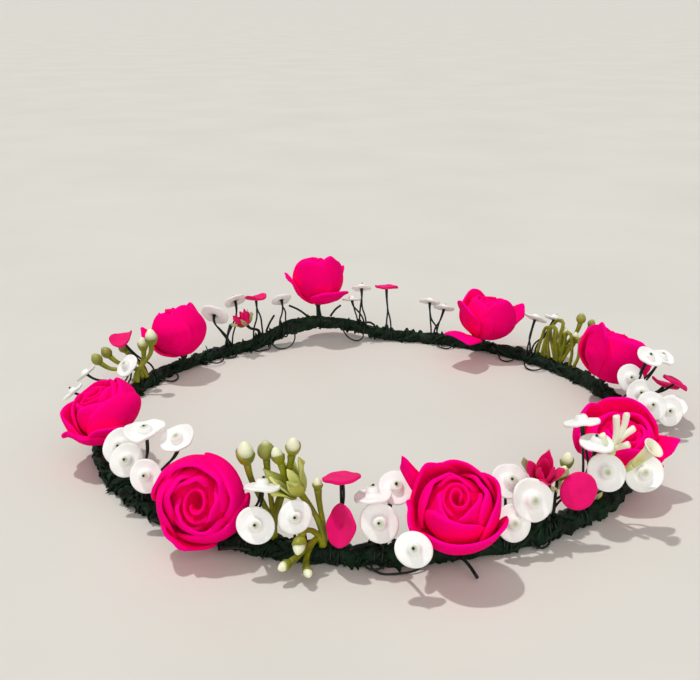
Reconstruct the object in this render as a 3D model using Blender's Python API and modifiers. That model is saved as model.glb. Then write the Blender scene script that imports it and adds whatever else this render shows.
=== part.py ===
"""Flower crown: a wrapped wire hoop that carries foam roses, foam disc flowers and plastic bud sprigs.

Metres and degrees, +Z up. The origin is the hoop's centre on the surface that the crown rests on, and the
front of the crown is at -Y. Azimuths are measured about +Z from +X.
"""
import math
from collections import namedtuple

import bmesh
import bpy
from mathutils import Matrix, Vector

OBJECT_NAME = "flower_crown"

# Band: a core wire whose ends lie side by side at the closure, under eight stretches of wrapped tape.
HOOP_RADIUS = 0.090
CORE_RADIUS = 0.0008
TAPE_RADIUS = 0.0034
TAPE_WALL = 0.0006
TAPE_SIDES = 8
SEAM_WIDTH = 0.0018
CLEARANCE = 0.0003
BAND_STEP = 7.5

# Closure: the band is lifted and thicker where the two ends of the core wire overlap.
CLOSURE = 101.0
CLOSURE_RISE = 0.0064
CLOSURE_SPREAD = 24.0
CLOSURE_SWELL = 0.25
OVERLAP = 7.0
OVERLAP_EASE = 8.0

# Rose: a lobed foam cup round a rolled bud, on a wire stem that is laid into the band.
ROSE_RADIUS = 0.0133
ROSE_HEIGHT = 0.017
PETAL_FOAM = 0.001
PETAL_LOBES = 5
LOBE_DEPTH = 0.06
LOBE_WAVE = 0.001
ROSE_BUD_RADIUS = 0.0072
ROSE_BUD_TOP = 0.0175
ROSE_BUD_BOTTOM = 0.0017
STEM_RADIUS = 0.0005
STEM_LEG = 9.0

# Small flowers: each sits on a soft wire, and the wires of a spray are tied over the band together.
WIRE_RADIUS = 0.0005
SPRIG_STEM_RADIUS = 0.0008
KNOT_RADIUS = 0.0012
DISC_RADIUS = 0.0048
DISC_THICKNESS = 0.0010
HUB_RADIUS = 0.0015
HUB_HEIGHT = 0.0024
BERRY_RADIUS = 0.0019
BUD_LENGTH = 0.0055
BELL_RADIUS = 0.0027
BELL_LENGTH = 0.0075
TAIL_RADIUS = 0.0004
HEAD_SIDES = {"disc": 8, "flat": 8, "berry": 6, "bud": 6, "bell": 6}
SLOPE_STEP = 2.0
TIE_CLEARANCE = 0.0005

COLOURS = {
    "core": (0.05, 0.09, 0.05),
    "tape": (0.02, 0.09, 0.03),
    "rose": (0.86, 0.01, 0.17),
    "heart": (0.72, 0.0, 0.12),
    "stem": (0.03, 0.08, 0.03),
    "white": (0.86, 0.84, 0.80),
    "pink": (0.78, 0.01, 0.20),
    "sprig": (0.36, 0.42, 0.06),
}

# A bloom's place is measured from the middle of the tape's flat top: reach is outwards, rise is upwards.
# It faces along turn, an azimuth counted from the local outward direction, and lift, an elevation.
Bloom = namedtuple("Bloom", "head azimuth reach rise turn lift")
Rose = namedtuple("Rose", "azimuth reach rise turn lift closing")
CLOSED = 0.72
OPEN = 0.5

ROSES = (
    Rose(-162.5, -0.0055, 0.0030, 2.0, 64.0, CLOSED),
    Rose(-121.0, 0.000, 0.0074, 26.0, 20.0, CLOSED),
    Rose(-79.0, 0.003, 0.0059, -16.0, 55.0, CLOSED),
    Rose(-36.0, -0.0035, 0.0046, -38.0, 58.0, CLOSED),
    Rose(12.0, -0.003, 0.0024, 6.0, 65.0, OPEN),
    Rose(54.0, -0.006, 0.0014, -34.0, 78.0, OPEN),
    Rose(101.0, 0.003, 0.0034, 0.0, 80.0, OPEN),
    Rose(145.5, -0.006, 0.0025, -10.0, 70.0, CLOSED),
)

DISC_SPRAYS = (
    (-113.0, (Bloom("disc", -109, 0.010, 0.0079, 25, 30), Bloom("disc", -109, 0.005, 0.0164, 20, 75))),
    (-104.0, (Bloom("disc", -103.5, 0.007, 0.0099, 20, 25),)),
    (-90.5, (
        Bloom("disc", -92, 0.000, 0.0139, 0, 80),
        Bloom("disc", -91.0, 0.005, 0.0084, 0, 25),
        Bloom("disc", -88, -0.004, 0.0134, 10, 55),
        Bloom("disc", -87, 0.009, 0.0009, -5, 30),
    )),
    (-69.0, (
        Bloom("disc", -67.5, -0.003, 0.0119, 0, 45),
        Bloom("disc", -66, 0.004, 0.0094, -10, 20),
        Bloom("disc", -69.5, 0.005, 0.0044, -20, 25),
    )),
    (-52.5, (
        Bloom("disc", -51, 0.006, 0.0114, -40, 25),
        Bloom("disc", -45.5, 0.012, 0.0099, -50, 35),
        Bloom("disc", -51.5, 0.003, 0.0239, -10, 85),
        Bloom("disc", -50.5, 0.001, 0.0189, -40, 50),
    )),
    (-12.0, (
        Bloom("disc", -11, 0.003, 0.0069, -80, 30),
        Bloom("disc", -9, 0.009, 0.0039, -80, 25),
        Bloom("disc", -5.5, 0.012, 0.0034, -60, 60),
    )),
    (0.0, (
        Bloom("disc", -0.5, -0.001, 0.0099, -90, 30),
        Bloom("disc", -4.5, 0.001, 0.0069, -90, 30),
        Bloom("disc", -1.5, 0.004, 0.0179, -60, 60),
        Bloom("disc", 1.5, 0.010, 0.0159, -30, 70),
    )),
    (41.5, (Bloom("disc", 42.5, 0.004, 0.0109, 0, 60), Bloom("disc", 40, 0.011, 0.0104, 0, 60))),
    (69.5, (Bloom("disc", 71.5, 0.003, 0.0109, 0, 60), Bloom("disc", 68, 0.005, 0.0079, 0, 60))),
    (89.5, (Bloom("disc", 92, 0.003, 0.0064, 0, 70), Bloom("disc", 89.5, 0.003, 0.0124, 0, 60))),
    (111.0, (Bloom("disc", 109.5, 0.002, 0.0089, 0, 45),)),
    (127.0, (Bloom("disc", 123, 0.005, 0.0144, 0, 45), Bloom("disc", 129.5, 0.004, 0.0104, -60, 30))),
    (166.0, (
        Bloom("disc", 160.5, 0.003, 0.0044, 60, 45),
        Bloom("disc", 166.5, 0.014, 0.0039, 0, 50),
        Bloom("disc", 173, 0.014, 0.0014, 0, 50),
    )),
    (-137.5, (
        Bloom("disc", -144, 0.001, 0.0109, 50, 30),
        Bloom("disc", -139.5, 0.003, 0.0099, 50, 30),
        Bloom("disc", -132, 0.005, 0.0099, 40, 30),
        Bloom("disc", -136.5, -0.001, 0.0184, 0, 80),
        Bloom("disc", -131, -0.0055, 0.0174, 15, 60),
    )),
)

PINK_SPRAYS = (
    (-97.5, (Bloom("flat", -97.0, 0.000, 0.0179, 0, 80), Bloom("flat", -96.5, 0.004, 0.0069, -60, 15))),
    (-60.0, (Bloom("flat", -58, 0.007, 0.0099, -30, 25), Bloom("bud", -62, -0.002, 0.0109, 0, 60))),
    (4.0, (Bloom("flat", 3, 0.012, 0.0059, 20, 70), Bloom("flat", -1, 0.014, 0.0084, 10, 60))),
    (82.0, (Bloom("flat", 83, 0.004, 0.0149, 0, 80),)),
    (118.0, (Bloom("flat", 118, 0.002, 0.0134, 0, 80), Bloom("bud", 122.5, -0.003, 0.0059, 0, 70))),
    (154.0, (Bloom("flat", 156, 0.009, 0.0109, 60, 70),)),
)

SPRIGS = (
    (-108.5, (
        Bloom("berry", -113, 0.000, 0.0214, 0, 80),
        Bloom("bud", -110, -0.002, 0.0204, 0, 85),
        Bloom("berry", -107, 0.000, 0.0219, 0, 80),
        Bloom("berry", -105, 0.000, 0.0249, 20, 75),
    )),
    (-100.5, (
        Bloom("bell", -104, -0.001, 0.0124, 30, 60),
        Bloom("berry", -101, -0.001, 0.0139, 0, 80),
        Bloom("berry", -103.5, 0.011, -0.0011, 0, 0),
    )),
    (-46.5, (Bloom("bell", -48.5, 0.008, 0.0214, 0, 65), Bloom("bell", -46.5, 0.012, 0.0194, 0, 30))),
    (33.0, (
        Bloom("berry", 31, 0.008, 0.0129, 0, 80),
        Bloom("berry", 29, 0.010, 0.0119, 0, 70),
        Bloom("bud", 33.5, 0.004, 0.0069, 0, 80),
        Bloom("bud", 37, 0.006, 0.0049, 0, 75),
        Bloom("berry", 29.5, 0.003, 0.0069, 0, 80),
    )),
    (157.0, (
        Bloom("berry", 160.5, 0.014, 0.0039, 0, 45),
        Bloom("berry", 157, 0.014, 0.0044, 0, 45),
        Bloom("berry", 153.5, 0.011, 0.0049, 0, 45),
    )),
    (161.0, (Bloom("bud", 158.5, -0.006, 0.0124, 0, 88), Bloom("bud", 157, -0.001, 0.0089, 0, 85))),
)

TAIL = (-112.0, -118.0, 0.008, -0.0031)


# ---------------------------------------------------------------- places on the crown

def polar(azimuth, radius, height):
    angle = math.radians(azimuth)
    return Vector((radius * math.cos(angle), radius * math.sin(angle), height))


def heading(azimuth, elevation):
    """Unit vector towards an azimuth and an elevation."""
    return polar(azimuth, math.cos(math.radians(elevation)), math.sin(math.radians(elevation)))


def swell(offset, spread):
    """A smooth bump: 1 at no offset, 0 at the spread and beyond."""
    offset = abs((offset + 180.0) % 360.0 - 180.0)
    return 0.0 if offset >= spread else 0.5 + 0.5 * math.cos(math.pi * offset / spread)


def band_scale(azimuth):
    return 1.0 + CLOSURE_SWELL * swell(azimuth - CLOSURE, CLOSURE_SPREAD)


def flat_side():
    """Distance from the band's centre line to the tape's flat sides, away from the closure."""
    return TAPE_RADIUS * math.cos(math.pi / TAPE_SIDES)


def band_height(azimuth):
    """Height of the band's centre line: its flat side lies on the table, except at the closure."""
    return flat_side() + CLOSURE_RISE * swell(azimuth - CLOSURE, CLOSURE_SPREAD)


def beside_band(azimuth, reach, rise):
    return polar(azimuth, HOOP_RADIUS + reach, band_height(azimuth) + rise)


def above_band(azimuth, reach, rise):
    """A place measured from the tape's flat top, so that the flowers follow the tape's size."""
    return beside_band(azimuth, reach, rise + flat_side())


def facing_matrix(place, direction):
    """A frame at a place, with +Z along a direction."""
    return Matrix.Translation(place) @ direction.to_track_quat("Z", "Y").to_matrix().to_4x4()


def arc_angles(first, last, step):
    count = max(2, math.ceil((last - first) / step))
    return [first + (last - first) * index / count for index in range(count + 1)]


def bend(start, leaving, end, arriving, count):
    """Points on a smooth cubic from a start to an end, with the pull of each end given as a vector."""
    points = []
    for index in range(count + 1):
        t = index / count
        a, b, c, d = (1 - t) ** 3, 3 * t * (1 - t) ** 2, 3 * t * t * (1 - t), t ** 3
        points.append(a * start + b * (start + leaving) + c * (end - arriving) + d * end)
    return points


# ---------------------------------------------------------------- shared building steps

def clear_scene():
    for item in list(bpy.data.objects):
        bpy.data.objects.remove(item, do_unlink=True)


def new_collection(name):
    collection = bpy.data.collections.new(name)
    bpy.context.scene.collection.children.link(collection)
    return collection


def make_material(name, colour, roughness):
    material = bpy.data.materials.new(name)
    material.use_nodes = True
    shader = material.node_tree.nodes["Principled BSDF"]
    shader.inputs["Base Color"].default_value = (*colour, 1.0)
    shader.inputs["Roughness"].default_value = roughness
    material.diffuse_color = (*colour, 1.0)
    return material


def add_object(name, mesh, collection, material):
    item = bpy.data.objects.new(name, mesh)
    collection.objects.link(item)
    mesh.materials.clear()
    mesh.materials.append(material)
    return item


def smooth(mesh, angle=40.0):
    mesh.shade_smooth()
    mesh.set_sharp_from_angle(angle=math.radians(angle))


def sweep_mesh(name, points, radius, sides, caps=True, tilt=0.0, scales=None):
    """A round section swept along points, as a mesh with welded caps."""
    curve = bpy.data.curves.new(name, "CURVE")
    curve.dimensions = "3D"
    curve.twist_mode = "Z_UP"
    curve.bevel_depth = radius
    curve.bevel_resolution = sides // 2 - 2
    curve.use_fill_caps = caps
    spline = curve.splines.new("POLY")
    spline.points.add(len(points) - 1)
    for index, point in enumerate(points):
        spline.points[index].co = (*point, 1.0)
        spline.points[index].tilt = tilt
        spline.points[index].radius = scales[index] if scales else 1.0
    holder = bpy.data.objects.new(name, curve)
    bpy.context.scene.collection.objects.link(holder)
    bpy.context.view_layer.update()
    mesh = bpy.data.meshes.new_from_object(holder.evaluated_get(bpy.context.evaluated_depsgraph_get()))
    bpy.data.objects.remove(holder)
    edit = bmesh.new()
    edit.from_mesh(mesh)
    bmesh.ops.remove_doubles(edit, verts=edit.verts, dist=0.00001)
    bmesh.ops.recalc_face_normals(edit, faces=edit.faces)
    edit.to_mesh(mesh)
    edit.free()
    smooth(mesh)
    return mesh


def turned_mesh(name, profile, steps):
    """A closed turned shape. The profile (radius, height) runs down the outer side from pole to pole."""
    outline = bpy.data.meshes.new(name)
    points = [(radius, 0.0, height) for radius, height in profile]
    outline.from_pydata(points, [(index, index + 1) for index in range(len(points) - 1)], [])
    holder = bpy.data.objects.new(name, outline)
    bpy.context.scene.collection.objects.link(holder)
    screw = holder.modifiers.new("turn", "SCREW")
    screw.steps = steps
    screw.render_steps = steps
    screw.use_merge_vertices = True
    screw.merge_threshold = 0.00001
    screw.use_smooth_shade = True
    bpy.context.view_layer.update()
    mesh = bpy.data.meshes.new_from_object(holder.evaluated_get(bpy.context.evaluated_depsgraph_get()))
    bpy.data.objects.remove(holder)
    return mesh


# ---------------------------------------------------------------- the band

def core_offset(angle, first, last):
    """Sideways step of the core wire, so that its two ends pass beside each other."""
    side = CORE_RADIUS + CLEARANCE / 2
    near_start = 1.0 - min(max((angle - first - 2 * OVERLAP) / OVERLAP_EASE, 0.0), 1.0)
    near_end = 1.0 - min(max((last - 2 * OVERLAP - angle) / OVERLAP_EASE, 0.0), 1.0)
    return side * (near_end - near_start)


def make_core_wire(collection):
    first = CLOSURE - OVERLAP
    last = CLOSURE + OVERLAP + 360.0
    points = [
        polar(angle, HOOP_RADIUS + core_offset(angle, first, last), band_height(angle))
        for angle in arc_angles(first, last, BAND_STEP)
    ]
    mesh = sweep_mesh("hoop_wire", points, CORE_RADIUS, 6)
    add_object("hoop_wire", mesh, collection, make_material("hoop_wire", COLOURS["core"], 0.4))


def seam_half_angle():
    return math.degrees(SEAM_WIDTH / 2 / HOOP_RADIUS)


def make_tape(index, first, last, collection):
    """One stretch of wrapped tape: an open-ended tube between two rose stems."""
    name = f"tape_stretch_{index}"
    angles = arc_angles(first + seam_half_angle(), last - seam_half_angle(), BAND_STEP)
    points = [polar(angle, HOOP_RADIUS, band_height(angle)) for angle in angles]
    scales = [band_scale(angle) for angle in angles]
    quarter_side = math.pi / TAPE_SIDES
    mesh = sweep_mesh(name, points, TAPE_RADIUS, TAPE_SIDES, caps=False, tilt=quarter_side, scales=scales)
    tape = add_object(name, mesh, collection, make_material(name, COLOURS["tape"], 0.8))
    wall = tape.modifiers.new("wall", "SOLIDIFY")
    wall.thickness = TAPE_WALL
    wall.offset = -1.0
    wall.use_even_offset = True


# ---------------------------------------------------------------- roses

def cup_radius(level, closing):
    """Outer radius of the petal cup at a level from 0 at its base to 1 at its rim."""
    return ROSE_RADIUS * math.sin(level * closing * math.pi) ** 0.62


def petal_cup_mesh(name, closing):
    columns = PETAL_LOBES * 3
    rows = 5
    edit = bmesh.new()
    bmesh.ops.create_grid(edit, x_segments=columns, y_segments=rows, size=1.0)
    for vert in edit.verts:
        turn = vert.co.x * math.pi
        level = (vert.co.y + 1.0) / 2
        lobe = math.cos(PETAL_LOBES * turn) * level
        radius = cup_radius(level, closing) * (1.0 - LOBE_DEPTH + LOBE_DEPTH * lobe)
        height = ROSE_HEIGHT * level ** 1.3 + LOBE_WAVE * lobe * level
        vert.co = Vector((radius * math.cos(turn), radius * math.sin(turn), height))
    bmesh.ops.remove_doubles(edit, verts=edit.verts, dist=0.00001)
    bmesh.ops.recalc_face_normals(edit, faces=edit.faces)
    mesh = bpy.data.meshes.new(name)
    edit.to_mesh(mesh)
    edit.free()
    mesh.shade_smooth()
    return mesh


def rose_bud_mesh(name):
    span = ROSE_BUD_TOP - ROSE_BUD_BOTTOM
    shape = ((0.0, 1.0), (0.6, 0.92), (1.0, 0.6), (0.92, 0.35), (0.5, 0.1), (0.0, 0.0))
    profile = [(ROSE_BUD_RADIUS * width, ROSE_BUD_BOTTOM + span * level) for width, level in shape]
    return turned_mesh(name, profile, 10)


def stem_points(rose, base, axis):
    """A leg laid on top of the core wire, then up through the seam and into the rose's base."""
    lift = CORE_RADIUS + CLEARANCE + STEM_RADIUS
    leg = [
        polar(angle, HOOP_RADIUS, band_height(angle) + lift)
        for angle in arc_angles(rose.azimuth, rose.azimuth + STEM_LEG, STEM_LEG / 3)
    ]
    centre = beside_band(rose.azimuth, 0.0, 0.0)
    leaving = (base - centre).normalized()
    top = centre + leaving * (TAPE_RADIUS * band_scale(rose.azimuth) + STEM_RADIUS)
    tip = base - axis * (CLEARANCE + STEM_RADIUS / 2)
    pull = (tip - top).length * 0.4
    return leg[::-1] + bend(top, leaving * pull, tip, axis * pull, 3)


def make_rose(index, rose, collection):
    base = above_band(rose.azimuth, rose.reach, rose.rise)
    axis = heading(rose.azimuth + rose.turn, rose.lift)
    place = facing_matrix(base, axis)
    name = f"rose_{index}"
    petals = add_object(f"{name}_petals", petal_cup_mesh(f"{name}_petals", rose.closing), collection,
                        make_material(f"{name}_petals", COLOURS["rose"], 0.7))
    wall = petals.modifiers.new("foam", "SOLIDIFY")
    wall.thickness = PETAL_FOAM
    wall.offset = -1.0
    bud = add_object(f"{name}_bud", rose_bud_mesh(f"{name}_bud"), collection,
                     make_material(f"{name}_bud", COLOURS["heart"], 0.7))
    petals.matrix_world = place
    bud.matrix_world = place
    stem = sweep_mesh(f"{name}_stem", stem_points(rose, base, axis), STEM_RADIUS, 6)
    add_object(f"{name}_stem", stem, collection, make_material(f"{name}_stem", COLOURS["stem"], 0.5))


# ---------------------------------------------------------------- sprays of small flowers

def head_profile(kind):
    """Profile of a flower head whose back is at height 0, from its top pole down to its bottom pole."""
    if kind == "disc":
        return (
            (0.0, HUB_HEIGHT), (HUB_RADIUS * 0.8, HUB_HEIGHT * 0.85), (HUB_RADIUS, DISC_THICKNESS),
            (DISC_RADIUS, DISC_THICKNESS * 0.8), (DISC_RADIUS * 0.96, 0.0), (0.0, -DISC_THICKNESS * 0.3),
        )
    if kind == "flat":
        return (
            (0.0, DISC_THICKNESS * 1.5), (DISC_RADIUS * 0.9, DISC_THICKNESS * 1.2),
            (DISC_RADIUS * 0.92, 0.0), (0.0, -DISC_THICKNESS * 0.3),
        )
    if kind == "bell":
        return (
            (0.0, BELL_LENGTH * 0.8), (BELL_RADIUS, BELL_LENGTH), (BELL_RADIUS * 0.7, BELL_LENGTH * 0.5),
            (BELL_RADIUS * 0.45, BELL_LENGTH * 0.1), (0.0, -DISC_THICKNESS * 0.3),
        )
    length = BUD_LENGTH if kind == "bud" else 2 * BERRY_RADIUS
    return (
        (0.0, length), (BERRY_RADIUS * 0.75, length * 0.82), (BERRY_RADIUS, length * 0.45),
        (BERRY_RADIUS * 0.7, length * 0.12), (0.0, -DISC_THICKNESS * 0.3),
    )


def tie_reach(azimuth, radius):
    """Distance from the band's centre line to a wire that lies on one of the band's flat sides."""
    run = math.radians(SLOPE_STEP) * HOOP_RADIUS
    slope = (band_height(azimuth + SLOPE_STEP / 2) - band_height(azimuth - SLOPE_STEP / 2)) / run
    return flat_side() * band_scale(azimuth) * math.hypot(1.0, slope) + TIE_CLEARANCE + radius


def tie_points(azimuth, radius):
    """A wire laid over the top half of the band, parallel to the band's flat sides."""
    corner = tie_reach(azimuth, radius) / math.cos(math.pi / TAPE_SIDES)
    points = []
    for index in range(TAPE_SIDES // 2):
        side = (2 * index + 1) * math.pi / TAPE_SIDES
        points.append(beside_band(azimuth, corner * math.cos(side), corner * math.sin(side)))
    return points


def spray_parts(azimuth, blooms, radius):
    """The closed meshes that are joined into one spray."""
    knot = beside_band(azimuth, 0.0, tie_reach(azimuth, radius))
    parts = [sweep_mesh("tie", tie_points(azimuth, radius), radius, 6)]
    for bloom in blooms:
        back = above_band(bloom.azimuth, bloom.reach, bloom.rise)
        axis = heading(bloom.azimuth + bloom.turn, bloom.lift)
        inside = back + axis * DISC_THICKNESS * 0.6
        pull = (inside - knot).length * 0.4
        wire = bend(knot, Vector((0.0, 0.0, pull)), inside, axis * pull, 3)
        parts.append(sweep_mesh("wire", wire, radius, 6))
        head = turned_mesh("head", head_profile(bloom.head), HEAD_SIDES[bloom.head])
        head.transform(facing_matrix(back, axis))
        parts.append(head)
    return knot, parts


def make_spray(name, azimuth, blooms, radius, material, collection, cutters):
    knot, parts = spray_parts(azimuth, blooms, radius)
    edit = bmesh.new()
    bmesh.ops.create_icosphere(edit, subdivisions=1, radius=KNOT_RADIUS)
    bmesh.ops.translate(edit, verts=edit.verts, vec=knot + Vector((0.0, 0.0, KNOT_RADIUS * 0.5)))
    mesh = bpy.data.meshes.new(name)
    edit.to_mesh(mesh)
    edit.free()
    mesh.shade_smooth()
    spray = add_object(name, mesh, collection, material)
    for index, part in enumerate(parts):
        piece = add_object(f"{name}_joined_{index}", part, cutters, material)
        piece.hide_render = True
        piece.display_type = "WIRE"
        join = spray.modifiers.new(f"join_{index}", "BOOLEAN")
        join.operation = "UNION"
        join.object = piece


def make_sprays(collection, cutters):
    families = (
        ("disc_spray", DISC_SPRAYS, WIRE_RADIUS, "white"),
        ("pink_spray", PINK_SPRAYS, WIRE_RADIUS, "pink"),
        ("bud_sprig", SPRIGS, SPRIG_STEM_RADIUS, "sprig"),
    )
    for family, sprays, radius, colour in families:
        for index, (azimuth, blooms) in enumerate(sprays, start=1):
            name = f"{family}_{index}"
            material = make_material(name, COLOURS[colour], 0.5)
            make_spray(name, azimuth, blooms, radius, material, collection, cutters)


def make_tail(collection):
    """The loose end of a binding wire, tied over the band and left sticking out in front."""
    azimuth, end_azimuth, reach, rise = TAIL
    tie = tie_points(azimuth, TAIL_RADIUS)
    end = above_band(end_azimuth, reach, rise)
    pull = Vector((0.0, 0.0, -(end - tie[0]).length * 0.3))
    points = tie[::-1] + bend(tie[0], pull, end, heading(end_azimuth, 0.0) * 0.002, 4)[1:]
    mesh = sweep_mesh("wire_tail", points, TAIL_RADIUS, 6)
    add_object("wire_tail", mesh, collection, make_material("wire_tail", COLOURS["stem"], 0.5))


def main():
    clear_scene()
    crown = new_collection(OBJECT_NAME)
    cutters = new_collection("joining_shapes")
    make_core_wire(crown)
    seams = [rose.azimuth for rose in ROSES]
    for index, first in enumerate(seams, start=1):
        last = seams[index] if index < len(seams) else seams[0] + 360.0
        make_tape(index, first, last, crown)
    for index, rose in enumerate(ROSES, start=1):
        make_rose(index, rose, crown)
    make_sprays(crown, cutters)
    make_tail(crown)


main()
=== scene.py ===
"""Looks of the flower crown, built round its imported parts. Metres and degrees, +Z up, front at -Y."""
import math
import random
from collections import namedtuple

import bpy
from mathutils import Matrix, Vector, noise


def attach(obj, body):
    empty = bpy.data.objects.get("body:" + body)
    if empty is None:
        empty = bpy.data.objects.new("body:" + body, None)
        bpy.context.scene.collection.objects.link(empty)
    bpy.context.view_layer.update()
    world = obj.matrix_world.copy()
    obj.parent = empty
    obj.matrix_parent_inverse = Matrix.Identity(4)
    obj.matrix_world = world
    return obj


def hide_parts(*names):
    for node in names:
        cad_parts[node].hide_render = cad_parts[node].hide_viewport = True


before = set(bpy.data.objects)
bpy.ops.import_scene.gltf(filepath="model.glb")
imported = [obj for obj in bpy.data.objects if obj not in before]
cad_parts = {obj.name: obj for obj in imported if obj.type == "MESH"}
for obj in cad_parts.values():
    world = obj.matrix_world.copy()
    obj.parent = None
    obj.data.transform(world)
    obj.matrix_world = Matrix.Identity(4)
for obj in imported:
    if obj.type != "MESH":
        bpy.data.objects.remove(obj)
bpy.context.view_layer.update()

# Hoop and band. Slim is the wrapped band's least share of the band radius, and the swells add to it.
HOOP_RADIUS = 0.090
BAND_RADIUS = 0.0034
REST_HEIGHT = 0.00314
CLOSURE = 101.0
CLOSURE_RISE = 0.0064
CLOSURE_SPREAD = 24.0
SLIM = 0.63
FRONT_SWELL = 0.22
CLOSURE_SWELL = 0.16
INSIDE_TAPE = BAND_RADIUS * 0.8

# Tape: one wrap lies over the last, and its free edge stands up in crumpled teeth.
TAPE_SECTION = 24
TAPE_STEP = 0.45
WRAP_PITCH = 0.0062
WRAP_RIDGE = 0.0006
LUMP = 0.0008
CREASE = 0.0004
TAPE_THICKNESS = 0.00018
PRESSED = 0.25
PRESSED_SPREAD = 8.0
STRAND_RADIUS = 0.0007

# Roses: foam sheets round a rolled heart, on a wrapped stalk that ends in a ball of tape.
PETAL_THICKNESS = 0.0011
PETAL_FOOT = 0.0023
ROLL_REACH = 0.0054
ROLL_HEIGHT = 0.0172
DOME_RADIUS = 0.0090
DOME_HEIGHT = 0.0066
DOME_MIDDLE = 0.0076
STALK_RADIUS = 0.0009
BALL_RADIUS = 0.00145

# Small flowers, sprigs and their wires.
DISC_RADIUS = 0.0049
DISC_THICKNESS = 0.0008
WIRE_RADIUS = 0.00036
WIRE_APART = 0.0003
LOOP_RADIUS = 0.0003
END_RADIUS = 0.00045
BERRY_RADIUS = 0.0019
SPRIG_STEM_RADIUS = 0.0008
PINK_STEM_RADIUS = 0.0006

# A bloom's place is measured from the band's centre line: reach outwards, rise upwards. It faces along
# turn, an azimuth counted from the local outward direction, and lift, an elevation. Size scales it, curl
# dishes it, and fold creases it across its middle. A rose's tall scales it along its own axis.
Bloom = namedtuple("Bloom", "azimuth reach rise turn lift size curl fold", defaults=(1.0, 0.0, 0.0))
Rose = namedtuple("Rose", "azimuth reach rise turn lift size tall")
Petal = namedtuple("Petal", "turn spread reach tall lean roll point", defaults=(0.0, 0.0))

ROSES = (
    Rose(-162.5, -0.0055, 0.0061, 2.0, 64.0, 0.95, 0.95),
    Rose(-121.0, 0.000, 0.0105, 26.0, 20.0, 0.96, 0.96),
    Rose(-79.0, 0.003, 0.0090, -16.0, 55.0, 0.92, 0.92),
    Rose(-36.0, -0.0035, 0.0077, -38.0, 70.0, 1.08, 0.70),
    Rose(12.0, -0.003, 0.0055, 6.0, 65.0, 1.0, 1.04),
    Rose(54.0, -0.006, 0.0045, -34.0, 78.0, 1.0, 1.02),
    Rose(101.0, 0.003, 0.0065, 0.0, 80.0, 0.96, 1.12),
    Rose(145.5, -0.006, 0.0056, -10.0, 70.0, 0.90, 1.10),
)

# Outer petals of each rose. Turn is counted about the rose's axis, and spread is half a petal's width, in
# degrees. Reach is its distance from the axis, and tall its height. Lean pushes the tip outwards, roll the
# side edges, and point draws the tip out.
OUTER_PETALS = (
    (
        Petal(20, 66, 0.0118, 0.0160, -0.0024), Petal(95, 66, 0.0120, 0.0162, -0.0028),
        Petal(170, 66, 0.0120, 0.0160, -0.002), Petal(245, 66, 0.0120, 0.0152, -0.001),
        Petal(305, 44, 0.0124, 0.0125, 0.0030, 0.001, 0.0015),
        Petal(345, 36, 0.0118, 0.0110, 0.0042, 0.0, 0.001),
    ),
    (
        Petal(20, 70, 0.0118, 0.0158, -0.0030), Petal(100, 72, 0.0120, 0.0158, -0.0028),
        Petal(175, 68, 0.0120, 0.0156, -0.0028), Petal(238, 52, 0.0126, 0.0142, -0.0004, 0.0, 0.0016),
        Petal(300, 70, 0.0122, 0.0156, -0.0026), Petal(140, 46, 0.0126, 0.0138, -0.0014),
    ),
    (
        Petal(5, 66, 0.0118, 0.0158, -0.0012), Petal(75, 66, 0.0120, 0.0162, -0.0016, 0.0, 0.0006),
        Petal(128, 46, 0.0120, 0.0165, -0.0006, 0.0, 0.0012),
        Petal(144, 11, 0.0122, 0.0158, 0.0058, 0.0, 0.0035),
        Petal(196, 34, 0.0120, 0.0120, 0.0014, 0.001), Petal(285, 74, 0.0124, 0.0140, 0.0006, 0.0004),
    ),
    (
        Petal(48, 52, 0.0122, 0.0188, -0.0010, 0.0004), Petal(132, 50, 0.0122, 0.0182, -0.0004, 0.0004),
        Petal(188, 44, 0.0122, 0.0150, 0.0008), Petal(255, 60, 0.0120, 0.0128, 0.0),
        Petal(338, 34, 0.0114, 0.0130, 0.0040, -0.001, 0.0026),
    ),
    (
        Petal(10, 64, 0.0122, 0.0168, -0.0004), Petal(105, 26, 0.0120, 0.0182, 0.0020, 0.0015, 0.0005),
        Petal(150, 70, 0.0124, 0.0165, -0.0004), Petal(215, 66, 0.0124, 0.0165, -0.0012),
        Petal(290, 64, 0.0124, 0.0168, -0.0004),
    ),
    (
        Petal(10, 58, 0.0106, 0.0168, 0.0, 0.0, 0.001), Petal(92, 48, 0.0108, 0.0145, 0.0034, 0.0, 0.0008),
        Petal(180, 62, 0.0104, 0.0178, -0.0012, 0.0, 0.0012),
        Petal(282, 38, 0.0112, 0.0150, 0.0068, 0.0, 0.0018),
        Petal(118, 30, 0.0128, 0.0038, 0.0090, 0.0, 0.0005),
    ),
    (
        Petal(5, 30, 0.0102, 0.0130, 0.0042, 0.0, 0.0005), Petal(60, 60, 0.0104, 0.0172, -0.0006),
        Petal(120, 58, 0.0104, 0.0180, -0.0010, 0.0, 0.0006), Petal(190, 40, 0.0106, 0.0140, 0.0018),
        Petal(112, 56, 0.0098, 0.0055, 0.0036), Petal(270, 62, 0.0106, 0.0170, 0.0),
    ),
    (
        Petal(15, 70, 0.0116, 0.0172, -0.0040), Petal(85, 70, 0.0118, 0.0180, -0.0042),
        Petal(160, 68, 0.0116, 0.0180, -0.0036), Petal(235, 66, 0.0116, 0.0165, -0.0022, 0.0, 0.0004),
        Petal(310, 34, 0.0112, 0.0120, 0.0032, 0.0, 0.002),
    ),
)

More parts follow.
